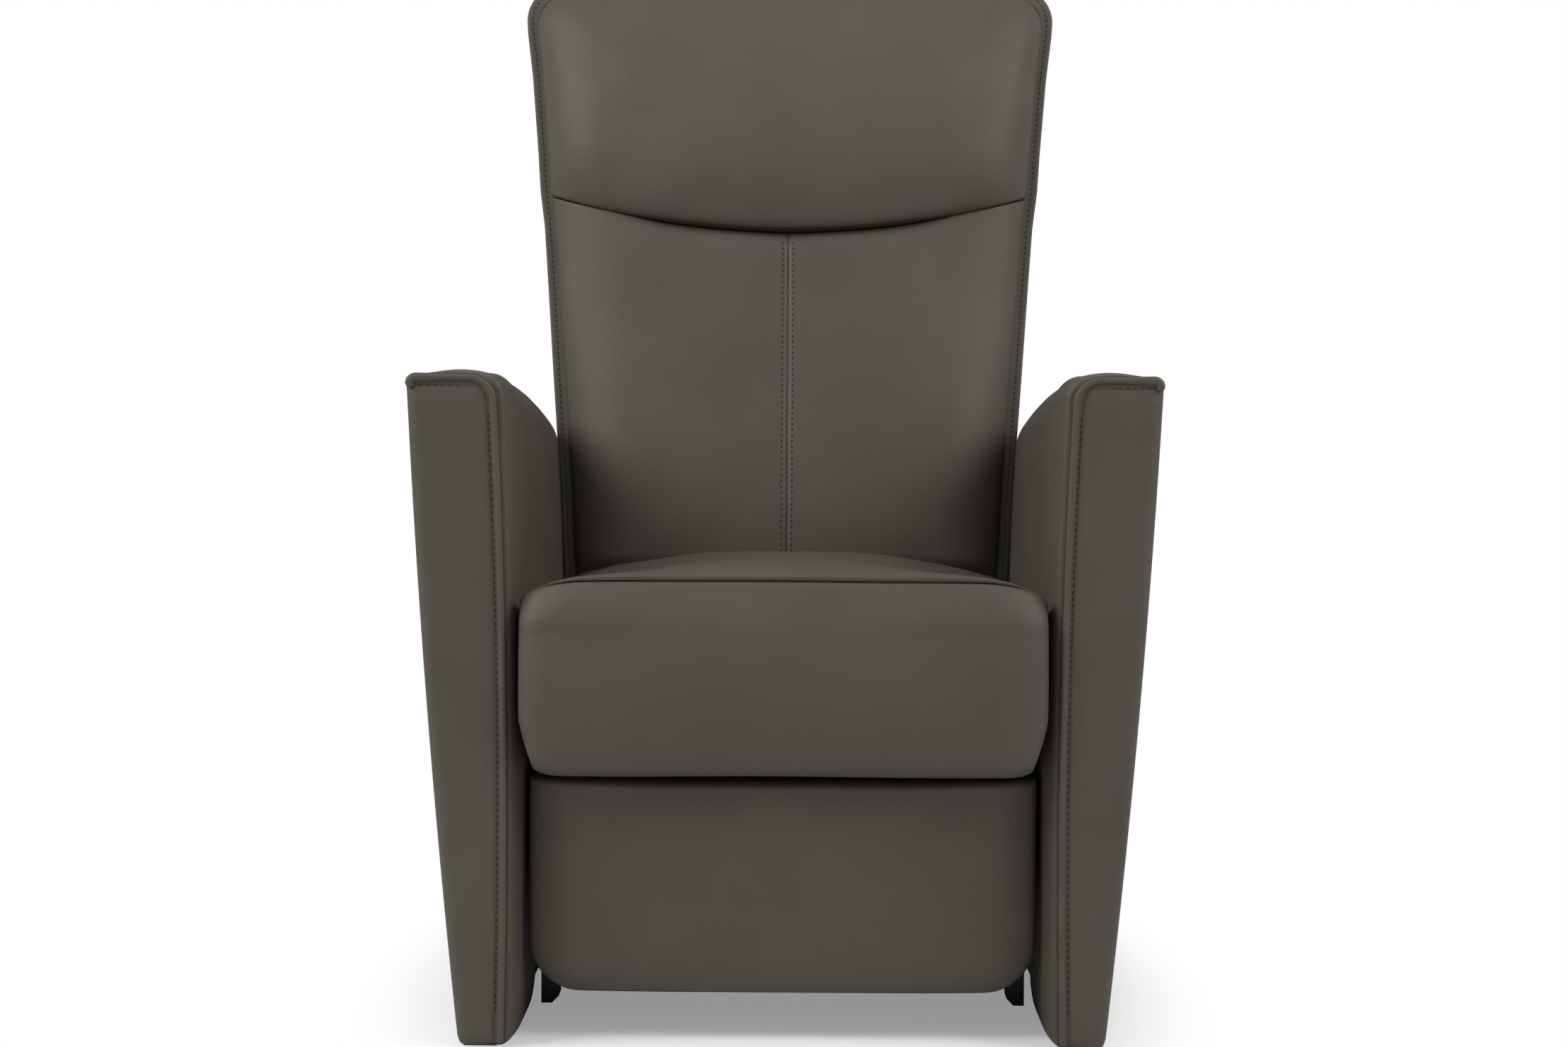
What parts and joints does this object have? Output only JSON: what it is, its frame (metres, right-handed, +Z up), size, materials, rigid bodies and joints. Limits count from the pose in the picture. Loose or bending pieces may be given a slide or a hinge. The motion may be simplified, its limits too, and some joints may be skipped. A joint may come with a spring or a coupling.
{
  "type": "recliner",
  "caption": "Upholstered leather recliner with a leaning back that reclines, tapered arms to the floor, a crowned seat and a footrest panel that swings out from below the seat.",
  "frame": {"origin": "floor level below the middle of the chair's box", "axes": "+Z up, -Y the way the sitter faces, +X to the right in the picture"},
  "size_m": [0.727, 0.795, 1.1273],
  "materials": {
    "leather": "low gloss, fine grain",
    "black_steel": "satin black",
    "bright_steel": "ground",
    "timber": "raw",
    "webbing": "woven",
    "band_rubber": "matt",
    "glide_plastic": "matt"
  },
  "bodies": {
    "base": {"arm_bracket_left": "black_steel", "arm_bracket_right": "black_steel", "arm_core_left": "timber", "arm_core_right": "timber", "arm_front_left": "leather", "arm_front_right": "leather", "arm_glides_left": "glide_plastic", "arm_glides_right": "glide_plastic", "arm_pad_left": "leather", "arm_pad_right": "leather", "arm_welt_left": "leather", "arm_welt_right": "leather", "base_rail_left": "black_steel", "base_rail_right": "black_steel", "cross_tube_front": "black_steel", "cross_tube_rear": "black_steel", "foot_front_left": "black_steel", "foot_front_right": "black_steel", "foot_rear_left": "black_steel", "foot_rear_right": "black_steel", "footrest_pin_left": "bright_steel", "footrest_pin_right": "bright_steel", "gas_cylinder": "black_steel", "gas_mount": "black_steel", "rear_apron": "leather", "recline_pin_left": "bright_steel", "recline_pin_right": "bright_steel", "seat_cushion": "leather", "seat_rail_front": "timber", "seat_rail_left": "timber", "seat_rail_mid": "timber", "seat_rail_rear": "timber", "seat_rail_right": "timber", "seat_webbing": "webbing", "side_plate_left": "black_steel", "side_plate_right": "black_steel"},
    "back": {"back_cushion": "leather", "back_hinge_left": "black_steel", "back_hinge_right": "black_steel", "back_shell": "leather", "back_tube_low": "black_steel", "back_tube_mid": "black_steel", "back_tube_top": "black_steel", "back_upright_left": "black_steel", "back_upright_right": "black_steel", "back_webbing": "webbing", "headrest_cushion": "leather", "spring_arm": "black_steel"},
    "gas_rod": {"gas_rod": "bright_steel"},
    "footrest_lever": {"footrest_lever_left": "black_steel", "footrest_lever_right": "black_steel", "lever_tube": "black_steel", "tilt_band_left": "band_rubber", "tilt_band_right": "band_rubber", "tilt_pin_left": "bright_steel", "tilt_pin_right": "bright_steel"},
    "footrest": {"footrest_board": "timber", "footrest_bracket_left": "black_steel", "footrest_bracket_right": "black_steel", "footrest_pad": "leather"}
  },
  "joints": [
    {"name": "back_recline", "type": "hinge", "parent": "base", "child": "back", "pos_m": [0, 0.165, 0.375], "axis": [-1, 0, 0], "range_deg": [0, 38]},
    {"name": "gas_slide", "type": "slide", "parent": "base", "child": "gas_rod", "axis": [0, -1, 0], "range_m": [0, 0.06]},
    {"name": "footrest_swing", "type": "hinge", "parent": "base", "child": "footrest_lever", "pos_m": [0, -0.2952, 0.2708], "axis": [-1, 0, 0], "range_deg": [0, 127.6]},
    {"name": "footrest_tilt", "type": "hinge", "parent": "footrest_lever", "child": "footrest", "pos_m": [0, -0.15367, 0.26635], "axis": [-1, 0, 0], "range_deg": [-45, 0]}
  ],
  "couplings": [
    {"joint": "gas_slide", "follows": "back_recline", "m_per_rad": 0.090323},
    {"joint": "footrest_tilt", "follows": "footrest_swing", "ratio": -0.352}
  ]
}
